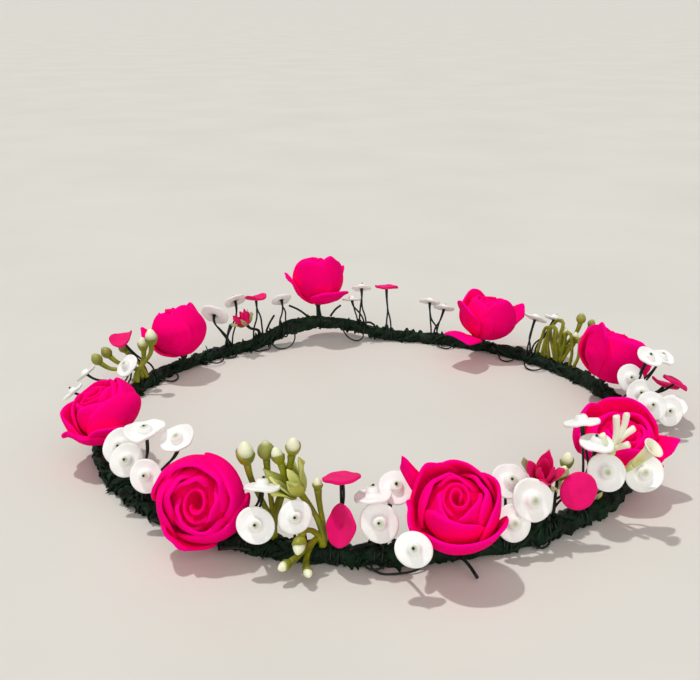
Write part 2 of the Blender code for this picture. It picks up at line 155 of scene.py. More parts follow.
WHITE_SPRAYS = (
    (-113.0, (Bloom(-109, 0.010, 0.011, 25, 30, 1.0, 0.1), Bloom(-109, 0.005, 0.0195, 10, 106, 1.0))),
    (-104.0, (Bloom(-103.5, 0.007, 0.013, 20, 25, 0.9, -0.1),)),
    (-90.5, (
        Bloom(-92, 0.000, 0.017, 30, 99, 1.05, -0.05),
        Bloom(-91.0, 0.005, 0.0115, 0, 25, 1.05, 0.05),
        Bloom(-88, -0.004, 0.0165, 10, 55, 1.0, 0.1),
        Bloom(-86.8, 0.0167, 0.0107, -5, 36, 0.95, -0.1),
    )),
    (-69.0, (
        Bloom(-67.5, -0.003, 0.015, 0, 45, 1.1, 0.15),
        Bloom(-66, 0.004, 0.0125, -10, 20, 1.2, 0.1, 0.1),
        Bloom(-69.5, 0.005, 0.0075, -20, 25, 1.0, -0.1),
    )),
    (-52.5, (
        Bloom(-51, 0.006, 0.0145, -40, 25, 1.1, 0.1, 0.1),
        Bloom(-45.5, 0.012, 0.013, -50, 35, 1.1, 0.1, 0.15),
        Bloom(-50.6, -0.0035, 0.0262, -10, 106, 1.0, 0.0, 0.0),
        Bloom(-51.6, 0.0030, 0.0225, -30, 84, 1.0, 0.0, 0.1),
    )),
    (-12.0, (
        Bloom(-11, 0.003, 0.010, -80, 30, 1.0, 0.05),
        Bloom(-9, 0.009, 0.007, -80, 25, 1.0, 0.1, 0.1),
        Bloom(-5.5, 0.012, 0.0065, -60, 60, 0.95, 0.15, 0.1),
    )),
    (0.0, (
        Bloom(-0.5, -0.001, 0.013, -90, 30, 1.0, 0.05),
        Bloom(-4.5, 0.001, 0.010, -90, 30, 1.0, 0.1),
        Bloom(-1.5, 0.004, 0.021, -60, 60, 0.9, 0.2, 0.1),
        Bloom(1.5, 0.010, 0.019, -30, 70, 1.0, 0.1, 0.2),
    )),
    (41.5, (Bloom(42.5, 0.004, 0.014, 0, 60, 0.95, 0.2), Bloom(40, 0.011, 0.0135, 0, 60, 0.9, 0.1))),
    (69.5, (Bloom(71.5, 0.003, 0.014, 0, 60, 0.9, 0.1), Bloom(68, 0.005, 0.011, 0, 60, 0.9, 0.2))),
    (89.5, (Bloom(92, 0.003, 0.0095, 0, 70, 0.85, 0.1), Bloom(89.5, 0.003, 0.0155, 0, 60, 0.9, 0.1))),
    (111.0, (Bloom(111, 0.002, 0.012, 0, 45, 0.9, 0.15),)),
    (127.0, (Bloom(123, 0.005, 0.0175, 0, 45, 1.0, 0.1), Bloom(129.5, 0.004, 0.0135, -60, 30, 1.15, 0.2))),
    (166.0, (
        Bloom(160.5, 0.003, 0.0075, 60, 45, 1.0, 0.1),
        Bloom(166.5, 0.014, 0.007, 0, 50, 0.9, 0.2),
        Bloom(173, 0.014, 0.0045, 0, 50, 0.9, 0.2),
    )),
    (-137.5, (
        Bloom(-144, 0.001, 0.014, 50, 30, 1.1, 0.05),
        Bloom(-139.5, 0.003, 0.013, 50, 30, 1.0, 0.05),
        Bloom(-132, 0.005, 0.013, 40, 30, 0.95, 0.1),
        Bloom(-136.5, -0.001, 0.0215, 0, 80, 1.15, 0.2, 0.2),
        Bloom(-131, -0.0055, 0.0205, 15, 60, 1.0, 0.25, 0.1),
    )),
)

PINK_SPRAYS = (
    (-97.5, (
        Bloom(-97.0, 0.000, 0.021, 30, 102, 1.0, 0.05),
        Bloom(-96.5, 0.004, 0.010, -50, 15, 1.15, 0.1, 0.12),
    )),
    (-60.0, (Bloom(-58, 0.007, 0.013, -30, 25, 1.05, -0.1),)),
    (4.0, (
        Bloom(2, 0.0125, 0.0085, 20, 70, 1.0, 0.1, 0.2),
        Bloom(-1, 0.014, 0.0115, 10, 60, 1.0, 0.0, 0.2),
    )),
    (82.0, (Bloom(83, 0.004, 0.018, 0, 80, 1.0, 0.1),)),
    (118.0, (Bloom(118, 0.002, 0.0165, 0, 80, 0.9, 0.1, 0.4),)),
    (154.0, (Bloom(156, 0.009, 0.014, 60, 70, 1.0, 0.1, 0.5),)),
)

# Heads of the plastic sprigs, placed as the blooms are, and the stems that loop over without a head.
Head = namedtuple("Head", "kind azimuth reach rise turn lift size")
SPRIGS = (
    (-108.5, (
        Head("bud", -113.0, 0.000, 0.0225, 0, 80, 1.25),
        Head("berry", -110.0, -0.002, 0.0235, 0, 85, 1.2),
        Head("bud", -107.0, 0.000, 0.0240, -60, 70, 0.9),
        Head("bud", -105.0, 0.000, 0.0270, 30, 70, 1.0),
    )),
    (-100.5, (
        Head("tulip", -104.0, -0.001, 0.0155, -60, 55, 1.1),
        Head("bud", -101.0, -0.001, 0.0170, 0, 80, 0.7),
        Head("bud", -103.8, 0.0105, 0.0022, -35, -8, 0.75),
        Head("bud", -101.5, 0.0105, 0.0012, 25, -8, 0.7),
        Head("bud", -102.6, 0.0075, 0.0080, 0, -35, 0.95),
    )),
    (-46.5, (
        Head("star", -49.3, 0.0055, 0.0195, -20, 82, 1.30),
        Head("trumpet", -47.6, 0.0105, 0.0165, 10, 52, 1.25),
        Head("bud", -55.5, -0.002, 0.0150, 0, 80, 0.95),
        Head("bud", -57.5, -0.001, 0.0130, 20, 70, 0.85),
    )),
    (33.0, (
        Head("berry", 31.0, 0.008, 0.0160, 0, 80, 1.0),
        Head("berry", 29.0, 0.010, 0.0150, 0, 70, 0.8),
        Head("bud", 33.5, 0.004, 0.0100, 0, 80, 0.8),
        Head("bud", 37.0, 0.006, 0.0080, 0, 75, 0.7),
        Head("bud", 29.5, 0.003, 0.0100, 0, 80, 0.8),
    )),
    (157.0, (
        Head("berry", 160.5, 0.014, 0.0070, 0, 45, 1.1),
        Head("berry", 157.0, 0.014, 0.0075, 0, 45, 1.1),
        Head("berry", 153.5, 0.011, 0.0080, 0, 45, 1.0),
    )),
    (161.0, (
        Head("bud", 158.5, -0.006, 0.0155, 0, 88, 1.2),
        Head("bud", 157.0, -0.001, 0.0120, 0, 85, 1.0),
    )),
)

PINK_BUDS = ((-60.0, Head("bud", -61.5, -0.001, 0.0140, -30, 60, 1.25)),
             (118.0, Head("bud", 122.5, -0.003, 0.0090, 60, 60, 1.0)))

# Arches of sprig stem: root, top and far foot as azimuths, then the reach and rise of the top.
ARCHES = (
    (33.0, 35.5, 37.0, 0.001, 0.0145), (33.5, 38.0, 39.5, 0.003, 0.0125),
    (32.5, 33.5, 35.5, -0.002, 0.0155), (32.0, 30.5, 28.5, 0.001, 0.0140),
    (32.5, 34.5, 38.0, 0.004, 0.0165), (31.5, 29.0, 27.0, 0.003, 0.0120),
)

# Loops of binding wire that hang off the band: azimuth, how far along, reach and rise of the far point.
LOOPS = (
    (112.0, 7.0, -0.006, -0.0065), (118.0, 5.0, -0.004, -0.0055), (134.0, 6.0, -0.0075, -0.002),
    (92.0, 6.0, -0.005, -0.0060), (66.0, 5.0, -0.006, -0.0030), (47.0, 5.0, -0.007, -0.0028),
    (38.0, 6.0, -0.0075, -0.0028), (-88.0, 9.0, 0.0058, -0.0029), (-91.5, 4.0, 0.0048, -0.0020),
    (-63.0, 4.0, 0.0046, -0.0024), (150.0, 6.0, -0.0065, -0.0028), (128.0, 4.0, -0.0045, -0.0040),
)

# Cut wire ends that stick out: foot azimuth, then azimuth, reach and rise of the tip.
ENDS = (
    (-111.5, -116.2, 0.0075, 0.0002), (-78.0, -77.0, 0.0115, -0.0022), (104.0, 109.0, 0.002, 0.0085),
    (98.0, 95.0, 0.003, 0.0060), (116.0, 113.5, 0.000, 0.0075), (-62.0, -60.5, -0.001, 0.0150),
    (-59.0, -58.0, -0.001, 0.0135), (55.0, 50.0, -0.0065, 0.0005), (-128.0, -131.0, 0.0060, 0.0010),
    (86.0, 88.5, -0.0045, 0.0030), (128.0, 126.0, 0.001, 0.0095), (-92.0, -95.5, 0.0050, 0.0040),
)


# ---------------------------------------------------------------- places

def polar(azimuth, radius, height):
    angle = math.radians(azimuth)
    return Vector((radius * math.cos(angle), radius * math.sin(angle), height))


def heading(azimuth, elevation):
    return polar(azimuth, math.cos(math.radians(elevation)), math.sin(math.radians(elevation)))


def swell(offset, spread):
    """A smooth bump: 1 at no offset, 0 at the spread and beyond."""
    offset = abs((offset + 180.0) % 360.0 - 180.0)
    return 0.0 if offset >= spread else 0.5 + 0.5 * math.cos(math.pi * offset / spread)


def band_height(azimuth):
    return REST_HEIGHT + CLOSURE_RISE * swell(azimuth - CLOSURE, CLOSURE_SPREAD)


def beside_band(azimuth, reach, rise):
    return polar(azimuth, HOOP_RADIUS + reach, band_height(azimuth) + rise)


def girth(azimuth):
    """The wrapped band's radius: slim at the back, fuller in front and at the closure."""
    full = SLIM + FRONT_SWELL * swell(azimuth + 70.0, 62.0)
    full += CLOSURE_SWELL * swell(azimuth - CLOSURE - 8.0, 18.0)
    return BAND_RADIUS * (full + 0.06 * noise.noise(polar(azimuth, 2.2, 0.0)))


def round_band(azimuth, side, distance):
    """A place at a distance from the wrapped band's own middle. Side 0 is outwards and 90 is up."""
    angle = math.radians(side)
    sag = BAND_RADIUS - girth(azimuth)
    place = beside_band(azimuth, distance * math.cos(angle), distance * math.sin(angle) - sag)
    place.z = max(place.z, 0.0)
    return place


def facing(place, direction, spin=0.0):
    """A frame at a place, with +Z along a direction."""
    turn = direction.to_track_quat("Z", "Y").to_matrix().to_4x4()
    return Matrix.Translation(place) @ turn @ Matrix.Rotation(math.radians(spin), 4, "Z")


def bend(start, leaving, end, arriving, count):
    """Points on a smooth cubic from a start to an end, with the pull of each end given as a vector."""
    points = []
    for index in range(count + 1):
        t = index / count
        a, b, c, d = (1 - t) ** 3, 3 * t * (1 - t) ** 2, 3 * t * t * (1 - t), t ** 3
        points.append(a * start + b * (start + leaving) + c * (end - arriving) + d * end)
    return points


# ---------------------------------------------------------------- finishes

def colour_mix(nodes, links, factor, first, second):
    mix = nodes.new("ShaderNodeMix")
    mix.data_type = "RGBA"
    for socket, colour in ((mix.inputs[6], first), (mix.inputs[7], second)):
        if isinstance(colour, tuple):
            socket.default_value = (*colour, 1.0)
        else:
            links.new(colour, socket)
    links.new(factor, mix.inputs[0])
    return mix.outputs[2]


def remap(nodes, links, value, **limits):
    node = nodes.new("ShaderNodeMapRange")
    for name, limit in limits.items():
        node.inputs[name.replace("_", " ")].default_value = limit
    links.new(value, node.inputs["Value"])
    return node.outputs["Result"]


def grain(nodes, links, scale, detail=4.0, stretch=None, low=0.3, high=0.7):
    """A noise pattern in the object's own metres, spread over 0 to 1."""
    coordinates = nodes.new("ShaderNodeTexCoord")
    pattern = nodes.new("ShaderNodeTexNoise")
    pattern.inputs["Scale"].default_value = scale
    pattern.inputs["Detail"].default_value = detail
    source = coordinates.outputs["Object"]
    if stretch:
        mapping = nodes.new("ShaderNodeMapping")
        mapping.inputs["Scale"].default_value = stretch
        links.new(source, mapping.inputs["Vector"])
        source = mapping.outputs["Vector"]
    links.new(source, pattern.inputs["Vector"])
    return remap(nodes, links, pattern.outputs["Fac"], From_Min=low, From_Max=high)


def painted(nodes, name):
    """A value that was painted on the piece's own points."""
    attribute = nodes.new("ShaderNodeAttribute")
    attribute.attribute_name = name
    return attribute.outputs["Fac"]


def bump(nodes, links, shader, height, strength, distance):
    node = nodes.new("ShaderNodeBump")
    node.inputs["Strength"].default_value = strength
    node.inputs["Distance"].default_value = distance
    links.new(height, node.inputs["Height"])
    links.new(node.outputs["Normal"], shader.inputs["Normal"])


def new_finish(name, **sockets):
    material = bpy.data.materials.new(name)
    material.use_nodes = True
    nodes, links = material.node_tree.nodes, material.node_tree.links
    shader = nodes["Principled BSDF"]
    for socket, value in sockets.items():
        shader.inputs[socket.replace("_", " ")].default_value = value
    return material, nodes, links, shader


def rose_foam(name, fold_shade, body, rim):
    """Soft foam sheet: painted shade makes it deeper and redder down in the folds, and a painted highlight
    makes it brighter along the cut edge.
    """
    material, nodes, links, shader = new_finish(
        name, Roughness=0.8, Sheen_Weight=0.05, Sheen_Roughness=0.5, Sheen_Tint=(0.9, 0.0, 0.5, 1.0),
        Specular_IOR_Level=0.02)
    # The first colour is painted shade, mottled into the body colour low in the folds.
    mottled = colour_mix(nodes, links, grain(nodes, links, 190.0), fold_shade, body)
    level = painted(nodes, "level")
    edge = remap(nodes, links, level, From_Min=0.25, From_Max=0.75)
    rising = colour_mix(nodes, links, edge, mottled, body)
    # The last colour is a painted highlight on the cut edge, where the painted level nears 1.
    rim_highlight = remap(nodes, links, level, From_Min=0.86, From_Max=1.0)
    links.new(colour_mix(nodes, links, rim_highlight, rising, rim), shader.inputs["Base Color"])
    bump(nodes, links, shader, grain(nodes, links, 1500.0, 2.0), 0.25, 0.0002)
    return material


def disc_foam(name, body, shade, heart):
    """Thin foam disc, tinted where its wire comes through."""
    material, nodes, links, shader = new_finish(
        name, Roughness=0.7, Sheen_Weight=0.05, Specular_IOR_Level=0.15)
    soft = colour_mix(nodes, links, grain(nodes, links, 240.0), shade, body)
    links.new(colour_mix(nodes, links, painted(nodes, "level"), soft, heart), shader.inputs["Base Color"])
    bump(nodes, links, shader, grain(nodes, links, 1800.0, 2.0), 0.2, 0.00015)
    return material


def crepe_tape(name):
    """Waxed crepe paper: dark and streaked along its stretch, with a painted highlight of paler green in
    patches.
    """
    material, nodes, links, shader = new_finish(name, Roughness=0.5, Specular_IOR_Level=0.22)
    streaks = grain(nodes, links, 700.0, 5.0, (1.0, 1.0, 0.35), 0.35, 0.7)
    base = colour_mix(nodes, links, streaks, (0.0006, 0.0034, 0.0016), (0.0028, 0.0165, 0.0050))
    # The paler green is a painted highlight, laid where the painted level is high.
    links.new(colour_mix(nodes, links, painted(nodes, "level"), base, (0.006, 0.040, 0.010)),
              shader.inputs["Base Color"])
    rough = remap(nodes, links, grain(nodes, links, 420.0), To_Min=0.38, To_Max=0.7)
    links.new(rough, shader.inputs["Roughness"])
    bump(nodes, links, shader, grain(nodes, links, 1600.0, 4.0, (1.0, 1.0, 0.4)), 0.7, 0.0004)
    return material


def wire_enamel(name, colour, paler):
    material, nodes, links, shader = new_finish(name, Roughness=0.4, Specular_IOR_Level=0.3)
    tone = colour_mix(nodes, links, grain(nodes, links, 500.0), colour, paler)
    links.new(tone, shader.inputs["Base Color"])
    bump(nodes, links, shader, grain(nodes, links, 2200.0, 2.0), 0.2, 0.0001)
    return material


def sprig_plastic(name, stem, stem_pale, tip):
    """Moulded soft plastic that pales towards its tips."""
    material, nodes, links, shader = new_finish(
        name, Roughness=0.38, Specular_IOR_Level=0.35, Subsurface_Weight=0.08, Subsurface_Scale=0.001)
    olive = colour_mix(nodes, links, grain(nodes, links, 260.0), stem, stem_pale)
    links.new(colour_mix(nodes, links, painted(nodes, "level"), olive, tip), shader.inputs["Base Color"])
    bump(nodes, links, shader, grain(nodes, links, 900.0, 2.0), 0.15, 0.0002)
    return material


# Each rose finish lists painted shade for the folds, the foam's own colour, then a painted highlight for the
# rim.
ROSE_FOAM = rose_foam("rose_foam", (0.82, 0.0, 0.095), (1.0, 0.0, 0.175), (1.0, 0.0, 0.26))
# The heart's foam is the rose foam darkened: painted shade for the hidden middle of the rose.
SHADED_HEART_FOAM = rose_foam("rose_heart_shaded_foam", (0.46, 0.0, 0.030), (0.90, 0.0, 0.110), (1.0, 0.0, 0.19))
WHITE_FOAM = disc_foam("white_foam", (0.94, 0.93, 0.90), (0.88, 0.87, 0.83), (0.33, 0.39, 0.15))
PINK_FOAM = disc_foam("pink_foam", (0.88, 0.0, 0.17), (0.76, 0.0, 0.125), (0.66, 0.0, 0.12))
TAPE = crepe_tape("crepe_tape")
WIRE = wire_enamel("wire_enamel", (0.0018, 0.0050, 0.0030), (0.0050, 0.0130, 0.0060))
OLIVE = sprig_plastic("olive_plastic", (0.125, 0.145, 0.003), (0.30, 0.30, 0.006), (0.86, 0.88, 0.62))
LIME = sprig_plastic("lime_plastic", (0.22, 0.27, 0.004), (0.42, 0.46, 0.020), (0.80, 0.82, 0.30))
CREAM = sprig_plastic("cream_plastic", (0.62, 0.62, 0.20), (0.78, 0.74, 0.40), (0.88, 0.85, 0.70))


# ---------------------------------------------------------------- bench steps

def deselect():
    bpy.ops.object.select_all(action="DESELECT")


def edit():
    bpy.ops.object.mode_set(mode="EDIT")
    bpy.ops.mesh.select_all(action="SELECT")


def done(name, material=None):
    """Leaves edit mode, names the active piece and seats it at the origin. A material also smooths it."""
    if bpy.context.object.mode == "EDIT":
        bpy.ops.object.mode_set(mode="OBJECT")
    piece = bpy.context.object
    piece.name = name
    bpy.ops.object.transform_apply(location=True, rotation=True, scale=True)
    if material:
        piece.data.materials.clear()
        piece.data.materials.append(material)
        bpy.ops.object.shade_smooth()
    return piece


def paint(piece, value):
    """Paints one value, or a value worked out from each point, as the level attribute."""
    layer = piece.data.attributes.get("level") or piece.data.attributes.new("level", "FLOAT", "POINT")
    for index, vertex in enumerate(piece.data.vertices):
        layer.data[index].value = value(vertex.co) if callable(value) else value
    return piece


def apply_modifier(piece, kind, **settings):
    deselect()
    piece.select_set(True)
    bpy.context.view_layer.objects.active = piece
    modifier = piece.modifiers.new(kind.lower(), kind)
    for key, value in settings.items():
        setattr(modifier, key, value)
    bpy.ops.object.modifier_apply(modifier=modifier.name)


def subdivide(piece):
    apply_modifier(piece, "SUBSURF", levels=1, render_levels=1)


def join(pieces, name):
    deselect()
    for piece in pieces:
        piece.select_set(True)
    bpy.context.view_layer.objects.active = pieces[0]
    if len(pieces) > 1:
        bpy.ops.object.join()
    pieces[0].name = name
    return pieces[0]


def copy_of(pattern, name, matrix):
    mesh = pattern.data.copy()
    piece = bpy.data.objects.new(name, mesh)
    bpy.context.scene.collection.objects.link(piece)
    mesh.transform(matrix)
    return piece


def tubes(name, paths, radius, material, sides=8, level=0.0):
    """Round wires or stems through lists of points. A path may be (points, thickness at each point)."""
    deselect()
    bpy.ops.curve.primitive_bezier_curve_add()
    holder = bpy.context.object
    curve = holder.data
    curve.splines.clear()
    curve.dimensions = "3D"
    curve.bevel_depth = radius
    curve.bevel_resolution = sides // 2 - 2
    curve.resolution_u = 4
    curve.use_fill_caps = True
    for path in paths:
        points, scales = path if isinstance(path, tuple) else (path, None)
        spline = curve.splines.new("BEZIER")
        spline.bezier_points.add(len(points) - 1)
        for index, point in enumerate(points):
            knot = spline.bezier_points[index]
            knot.co = point
            knot.handle_left_type = knot.handle_right_type = "AUTO"
            knot.radius = scales[index] if scales else 1.0
    bpy.ops.object.convert(target="MESH")
    edit()
    bpy.ops.mesh.remove_doubles(threshold=0.00001)
    bpy.ops.mesh.normals_make_consistent(inside=False)
    piece = done(name, material)
    return paint(piece, level)


def settle(piece, body, slot, *nodes):
    """Hands a finished piece over: the body it moves with and what it stands for. Its finish slot is not
    used.
    """
    for vertex in piece.data.vertices:
        vertex.co.z = max(vertex.co.z, 0.0)
    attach(piece, body)
    if nodes:
        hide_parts(*nodes)


# ---------------------------------------------------------------- the wrapped band

def tape_distance(azimuth, side, seed):
    """How far the tape's surface stands from the band's centre line."""
    run = math.radians(azimuth) * HOOP_RADIUS
    place = round_band(azimuth, side, BAND_RADIUS)
    drift = noise.noise(place * 70.0 + Vector((seed, 0.0, 0.0)))
    wrap = (run / WRAP_PITCH + side / 360.0 + drift) % 1.0
    lumps = noise.noise(place * 240.0) + 0.6 * noise.noise(place * 520.0)
    crease = noise.noise(place * 1300.0)
    return girth(azimuth) * 0.9 + WRAP_RIDGE * wrap ** 2 + LUMP * lumps + CREASE * crease


def tape_core(name, first, last, seed):
    """A ring section spun along the hoop, then crumpled wrap by wrap."""
    deselect()
    bpy.ops.mesh.primitive_circle_add(vertices=TAPE_SECTION, radius=BAND_RADIUS,
                                      location=(HOOP_RADIUS, 0.0, 0.0), rotation=(math.pi / 2, 0.0, 0.0))
    done(name)
    edit()
    span = last - first
    bpy.ops.mesh.spin(steps=round(span / TAPE_STEP), angle=math.radians(span), center=(0.0, 0.0, 0.0),
                      axis=(0.0, 0.0, 1.0))
    bpy.ops.mesh.select_all(action="SELECT")
    bpy.ops.mesh.fill_holes(sides=0)
    bpy.ops.object.mode_set(mode="OBJECT")
    piece = bpy.context.object
    turned = min(vertex.co.y for vertex in piece.data.vertices) < -0.001
    for vertex in piece.data.vertices:
        azimuth = math.degrees(math.atan2(vertex.co.y, vertex.co.x))
        azimuth = last + azimuth if turned else first + azimuth
        side = math.degrees(math.atan2(vertex.co.z, math.hypot(vertex.co.x, vertex.co.y) - HOOP_RADIUS))
        vertex.co = round_band(azimuth, side, tape_distance(azimuth, side, seed))
    edit()
    bpy.ops.mesh.normals_make_consistent(inside=False)
    piece = done(name, TAPE)
    # Painted highlight: paler green in patches laid by noise.
    return paint(piece, lambda place: max(0.0, noise.noise(place * 330.0)) * 1.4)


def tape_edge(name, first, last, seed, pitch, stand):
    """The tape's free edge: a strip wound round the band in crumpled teeth, which the roses press flat."""
    deselect()
    steps = round((last - first) / 0.28)
    bpy.ops.mesh.primitive_grid_add(x_subdivisions=steps, y_subdivisions=3, size=1.0)
    piece = bpy.context.object
    chance = random.Random(seed)
    phase = chance.random() * 360.0
    teeth = [chance.uniform(0.1, 1.0) for _ in range(steps + 2)]
    for vertex in piece.data.vertices:
        along, across = vertex.co.x + 0.5, vertex.co.y + 0.5
        azimuth = first + (last - first) * along
        run = math.radians(azimuth) * HOOP_RADIUS
        pressed = any(swell(azimuth - rose.azimuth, PRESSED_SPREAD) > 0.02 for rose in ROSES)
        tooth = teeth[round(along * steps)] * across ** 2 * (PRESSED if pressed else 1.0)
        side = phase + 360.0 * run / pitch + 25.0 * across
        distance = tape_distance(azimuth, side, seed) - 0.0004 + (0.0005 + stand * tooth) * across
        lean = math.degrees(0.0016 * across / HOOP_RADIUS)
        vertex.co = round_band(azimuth + lean, side, distance)
    apply_modifier(piece, "SOLIDIFY", thickness=TAPE_THICKNESS, offset=0.0)
    piece = done(name, TAPE)
    # Painted highlight: the standing edge is paler green throughout, more so in patches.
    return paint(piece, lambda place: 0.25 + max(0.0, noise.noise(place * 400.0)))


def strand(first, last, seed, pitch, depth):
    """A stem that was wound along the band under the last of the tape."""
    chance = random.Random(seed)
    phase = chance.random() * 360.0
    count = round((last - first) / 2.5)
    points = []
    for index in range(count + 1):
        azimuth = first + (last - first) * index / count
        run = math.radians(azimuth) * HOOP_RADIUS
        side = phase + 360.0 * run / pitch
        points.append(round_band(azimuth, side, girth(azimuth) + chance.uniform(-0.0005, depth)))
    return points


def wrap_band(index, first, last):
    name = f"band_wrap_{index}"
    parts = [tape_core(name, first, last, index)]
    parts.append(tape_edge("edge", first + 0.5, last - 0.5, index, 0.0062, 0.0014))
    parts.append(tape_edge("edge", first + 0.5, last - 0.5, index + 50, 0.0115, 0.0021))
    strands = [strand(first + 1, last - 1, 10 * index + turn, pitch, 0.0003)
               for turn, pitch in enumerate((0.021, -0.028, 0.034))]
    # The strands carry a little of the painted highlight.
    parts.append(tubes("strands", strands, STRAND_RADIUS, TAPE, 6, 0.3))
    settle(join(parts, name), "band", "tape", f"tape_stretch_{index}")


# ---------------------------------------------------------------- roses

def petal_place(petal, across, level, seed):
    """Where a point of a petal sheet goes. Across is -1 to 1, level is 0 at the base to 1 at the tip."""
    rim = max(0.0, level - 0.5) / 0.5
    width = math.sin(math.pi * (0.14 + 0.70 * level)) ** 0.55
    width *= 1.0 - min(0.8, petal.point * 230.0) * rim ** 2
    turn = math.radians(petal.turn + across * petal.spread * width)
    cup = math.sin(min(1.0, level / 0.62) * math.pi / 2) ** 0.8
    wave = noise.noise(Vector((across * 1.6, level * 1.4, seed))) * 0.0011 * level
    radius = PETAL_FOOT + (petal.reach - PETAL_FOOT) * cup + petal.lean * rim ** 1.6
    radius += 0.0008 * across + petal.roll * rim * across * across + wave
    height = petal.tall * (level ** 1.1 - 0.16 * level * across * across)
    height += petal.point * rim * (1.0 - abs(across)) - 0.25 * abs(petal.lean) * rim * rim + 0.6 * wave
    return Vector((radius * math.cos(turn), radius * math.sin(turn), height))


def foam_sheet(piece, levels):
    """Gives a bent sheet its painted levels and its thickness."""
    layer = piece.data.attributes.new("level", "FLOAT", "POINT")
    layer.data.foreach_set("value", levels)
    apply_modifier(piece, "SOLIDIFY", thickness=PETAL_THICKNESS, offset=0.0)


def petal_sheet(petal, seed):
    deselect()
    bpy.ops.mesh.primitive_grid_add(x_subdivisions=12, y_subdivisions=9, size=2.0)
    piece = bpy.context.object
    levels = []
    for vertex in piece.data.vertices:
        across, level = vertex.co.x, (vertex.co.y + 1.0) / 2
        levels.append(max(level, abs(across) ** 6 * level))
        vertex.co = petal_place(petal, across, level, seed)
    foam_sheet(piece, levels)
    return piece


def heart_dome(dimple):
    """The foam that fills a rose behind its petals: a turned, flat-topped dome with a dimple on top."""
    deselect()
    bpy.ops.mesh.primitive_uv_sphere_add(segments=28, ring_count=16, radius=DOME_RADIUS)
    # The dome takes the darker heart foam, painted shade.
    piece = done("dome", SHADED_HEART_FOAM)
    for vertex in piece.data.vertices:
        reach = min(1.0, math.hypot(vertex.co.x, vertex.co.y) / DOME_RADIUS)
        if vertex.co.z > 0.0:
            vertex.co.z = DOME_HEIGHT * (1.0 - reach ** 3) ** (1 / 3)
            vertex.co.z *= 1.0 - dimple * max(0.0, 1.0 - reach / 0.32)
        else:
            vertex.co.z *= 0.62
        vertex.co.z += DOME_MIDDLE
    return paint(piece, 0.4)


def rolled_heart(name, turns, hollow, reach, tall, seed):
    """A foam strip rolled round itself, with a wavy top edge that opens a little outwards."""
    deselect()
    columns = round(turns * 18)
    bpy.ops.mesh.primitive_grid_add(x_subdivisions=columns, y_subdivisions=6, size=2.0)
    piece = bpy.context.object
    levels = []
    for vertex in piece.data.vertices:
        along, level = (vertex.co.x + 1.0) / 2, (vertex.co.y + 1.0) / 2
        levels.append(0.25 + 0.75 * level)
        angle = along * turns * math.tau + seed
        wave = noise.noise(Vector((along * 5.0, level, seed)))
        radius = hollow + (reach - hollow) * along ** 0.9 * (0.72 + 0.28 * level)
        radius += 0.0006 * wave * level
        height = tall * (0.22 + 0.78 * level) * (1.0 - 0.1 * along) + 0.001 * wave * level
        vertex.co = Vector((radius * math.cos(angle), radius * math.sin(angle), height))
    foam_sheet(piece, levels)
    subdivide(piece)
    # The roll takes the darker heart foam, painted shade, with a painted highlight on its top edge.
    return done(name, SHADED_HEART_FOAM)


def ring_of_petals(count, start, spread, reach, tall, lean):
    return [Petal(start + 360.0 * index / count, spread, reach, tall, lean) for index in range(count)]


def make_rose(index, rose, outer):
    base = beside_band(rose.azimuth, rose.reach, rose.rise)
    place = facing(base, heading(rose.azimuth + rose.turn, rose.lift))
    chance = random.Random(index)
    start = chance.random() * 360.0
    turns, hollow, dimple = (1.35, 0.0018, 0.8) if index == 2 else (1.9, 0.0009, 0.3)
    heart = rolled_heart("roll", turns, hollow, ROLL_REACH, ROLL_HEIGHT, index * 1.7)
    heart = join([heart, heart_dome(dimple)], f"rose_{index}_roll")
    petals = ring_of_petals(3, start, 76.0, 0.0074, 0.0170, -0.0016)
    petals += ring_of_petals(3, start + 50.0, 74.0, 0.0096, 0.0168, -0.0022)
    petals += outer
    # Each petal's painted level runs from painted shade at its base to a painted highlight on its rim.
    sheets = [petal_sheet(petal, 10.0 * index + number) for number, petal in enumerate(petals)]
    cup = join(sheets, f"rose_{index}_cup")
    subdivide(cup)
    cup = done(f"rose_{index}_cup", ROSE_FOAM)
    for piece in (heart, cup):
        for vertex in piece.data.vertices:
            vertex.co.x *= 1.0 - 0.4 * max(0.0, 1.0 - math.hypot(vertex.co.x, vertex.co.y) / 0.009)
        piece.data.transform(place @ Matrix.Diagonal((rose.size, rose.size, rose.tall, 1.0)))
    settle(cup, f"rose_{index}", "rose_foam", f"rose_{index}_petals")
    settle(heart, f"rose_{index}", "rose_heart", f"rose_{index}_bud")
    make_stalk(index, rose, place)


def make_stalk(index, rose, place):
    """The wrapped stem that carries a rose, with a ball of tape on its end that the rose turns about."""
    base = place.translation
    axis = place.to_3x3() @ Vector((0.0, 0.0, 1.0))
    centre = beside_band(rose.azimuth, 0.0, 0.0)
    pull = (base - centre).length * 0.45
    leaving = (base - centre).normalized()
    points = bend(centre, leaving * pull, base, axis * pull, 4)
    # The stalk and its ball carry a little of the painted highlight.
    stem = tubes("stem", [(points, [1.5, 1.3, 1.1, 1.0, 1.0])], STALK_RADIUS, TAPE, 8, 0.2)
    deselect()
    bpy.ops.mesh.primitive_uv_sphere_add(segments=14, ring_count=10, radius=BALL_RADIUS, location=base)
    ball = done("ball", TAPE)
    paint(ball, 0.3)
    settle(join([stem, ball], f"rose_{index}_stalk"), "band", "wire", f"rose_{index}_stem")


# ---------------------------------------------------------------- small flowers

def heart_tint(place, reach):
    """The tint round a disc's wire: full in the middle, none at the reach."""
    return max(0.0, 1.0 - math.hypot(place.x, place.y) / reach)


def disc_blank(*steps):
    """A flat disc, left in edit mode, with a ring inset at each step."""
    deselect()
    bpy.ops.mesh.primitive_circle_add(vertices=18, radius=DISC_RADIUS, fill_type="NGON")
    edit()
    for step in steps:
        bpy.ops.mesh.inset(thickness=step)


